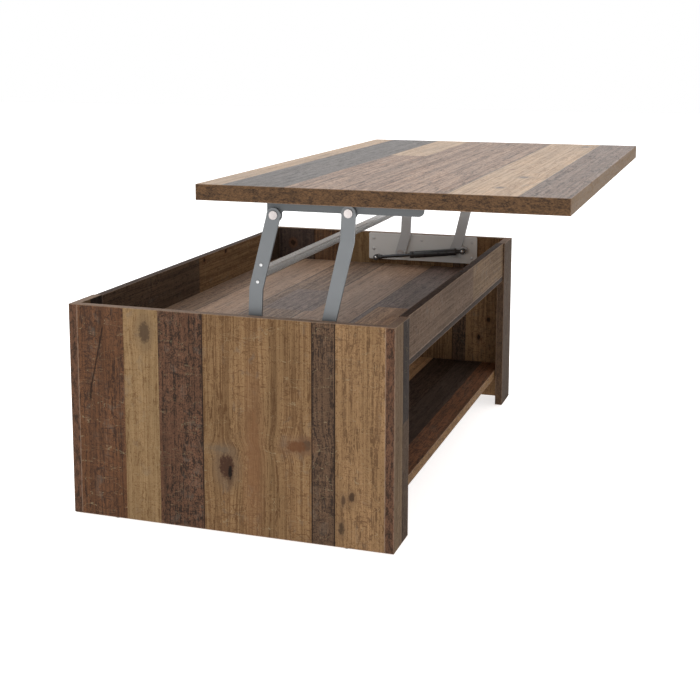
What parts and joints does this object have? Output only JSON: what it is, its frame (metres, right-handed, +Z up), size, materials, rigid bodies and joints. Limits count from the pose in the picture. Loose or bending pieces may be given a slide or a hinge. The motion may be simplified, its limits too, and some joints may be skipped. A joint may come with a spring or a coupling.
{
  "type": "lift top coffee table",
  "caption": "Plank-look coffee table whose board top swings up and forward on steel arms over a storage tray, with an open shelf below.",
  "frame": {"origin": "centre of the raised table's bounding box, at floor level", "axes": "+X along the length, -Y is the front that the top moves towards, +Z up"},
  "size_m": [1.1, 0.9338, 0.6491],
  "materials": {
    "ball_chrome": "polished",
    "dowel_wood": "satin",
    "end_panel_wood": "satin",
    "fitting_grey": "satin",
    "glide_plastic": "matte",
    "leg_wood": "satin",
    "lower_shelf_wood": "satin",
    "pin_steel": "satin",
    "rail_wood": "satin",
    "screw_steel": "satin",
    "spring_black": "satin",
    "table_top_wood": "satin",
    "tray_floor_wood": "satin"
  },
  "bodies": {
    "case": {"base_plate_left": "fitting_grey", "base_plate_right": "fitting_grey", "base_plate_screws_left": "screw_steel", "base_plate_screws_right": "screw_steel", "end_panel_left": "end_panel_wood", "end_panel_right": "end_panel_wood", "floor_glides": "glide_plastic", "leg_back_left": "leg_wood", "leg_back_right": "leg_wood", "leg_dowels": "dowel_wood", "leg_front_left": "leg_wood", "leg_front_right": "leg_wood", "low_pivot_pins_left": "pin_steel", "low_pivot_pins_right": "pin_steel", "lower_shelf": "lower_shelf_wood", "plate_stud_left": "pin_steel", "plate_stud_right": "pin_steel", "rail_back": "rail_wood", "rail_dowels": "dowel_wood", "rail_front": "rail_wood", "shelf_cams": "screw_steel", "tray_floor": "tray_floor_wood", "tray_floor_dowels": "dowel_wood", "tray_floor_screws": "screw_steel"},
    "rear_arms": {"rear_arm_left": "fitting_grey", "rear_arm_right": "fitting_grey", "tie_bar": "fitting_grey", "tie_bar_screws_left": "screw_steel", "tie_bar_screws_right": "screw_steel"},
    "top": {"high_pivot_pins_left": "pin_steel", "high_pivot_pins_right": "pin_steel", "table_top": "table_top_wood", "top_bracket_left": "fitting_grey", "top_bracket_right": "fitting_grey", "top_bracket_screws_left": "screw_steel", "top_bracket_screws_right": "screw_steel"},
    "front_arm_left": {"arm_stud_left": "pin_steel", "front_arm_left": "fitting_grey"},
    "front_arm_right": {"arm_stud_right": "pin_steel", "front_arm_right": "fitting_grey"},
    "gas_cylinder_left": {"cylinder_ball_left": "ball_chrome", "cylinder_socket_left": "spring_black", "gas_cylinder_left": "spring_black"},
    "gas_cylinder_right": {"cylinder_ball_right": "ball_chrome", "cylinder_socket_right": "spring_black", "gas_cylinder_right": "spring_black"},
    "gas_rod_left": {"gas_rod_left": "spring_black", "rod_ball_left": "ball_chrome", "rod_socket_left": "spring_black"},
    "gas_rod_right": {"gas_rod_right": "spring_black", "rod_ball_right": "ball_chrome", "rod_socket_right": "spring_black"}
  },
  "joints": [
    {"name": "main_lift", "type": "hinge", "parent": "case", "child": "rear_arms", "pos_m": [0, 0.11189, 0.36268], "axis": [-1, 0, 0], "range_deg": [0, 96.7]},
    {"name": "top_level", "type": "hinge", "parent": "rear_arms", "child": "top", "pos_m": [0, 0.06202, 0.59335], "axis": [-1, 0, 0], "range_deg": [-96.71, 0]},
    {"name": "front_arm_left_swing", "type": "hinge", "parent": "case", "child": "front_arm_left", "pos_m": [-0.5055, -0.02811, 0.37168], "axis": [-1, 0, 0], "range_deg": [0, 96.71]},
    {"name": "gas_left_turn", "type": "hinge", "parent": "front_arm_left", "child": "gas_cylinder_left", "pos_m": [-0.49, -0.05411, 0.37668], "axis": [-1, 0, 0], "range_deg": [-89.74, 0]},
    {"name": "gas_left_stroke", "type": "slide", "parent": "gas_cylinder_left", "child": "gas_rod_left", "axis": [0, 0.993, -0.1182], "range_m": [-0.02992, 0]},
    {"name": "front_arm_right_swing", "type": "hinge", "parent": "case", "child": "front_arm_right", "pos_m": [0.5055, -0.02811, 0.37168], "axis": [-1, 0, 0], "range_deg": [0, 96.71]},
    {"name": "gas_right_turn", "type": "hinge", "parent": "front_arm_right", "child": "gas_cylinder_right", "pos_m": [0.49, -0.05411, 0.37668], "axis": [-1, 0, 0], "range_deg": [-89.74, 0]},
    {"name": "gas_right_stroke", "type": "slide", "parent": "gas_cylinder_right", "child": "gas_rod_right", "axis": [0, 0.993, -0.1182], "range_m": [-0.02992, 0]}
  ],
  "couplings": [
    {"joint": "top_level", "follows": "main_lift", "ratio": -1},
    {"joint": "front_arm_left_swing", "follows": "main_lift", "ratio": 1},
    {"joint": "gas_left_turn", "follows": "main_lift", "ratio": -0.92791},
    {"joint": "gas_left_stroke", "follows": "main_lift", "m_per_rad": -0.017716},
    {"joint": "front_arm_right_swing", "follows": "main_lift", "ratio": 1},
    {"joint": "gas_right_turn", "follows": "main_lift", "ratio": -0.92791},
    {"joint": "gas_right_stroke", "follows": "main_lift", "m_per_rad": -0.017716}
  ]
}
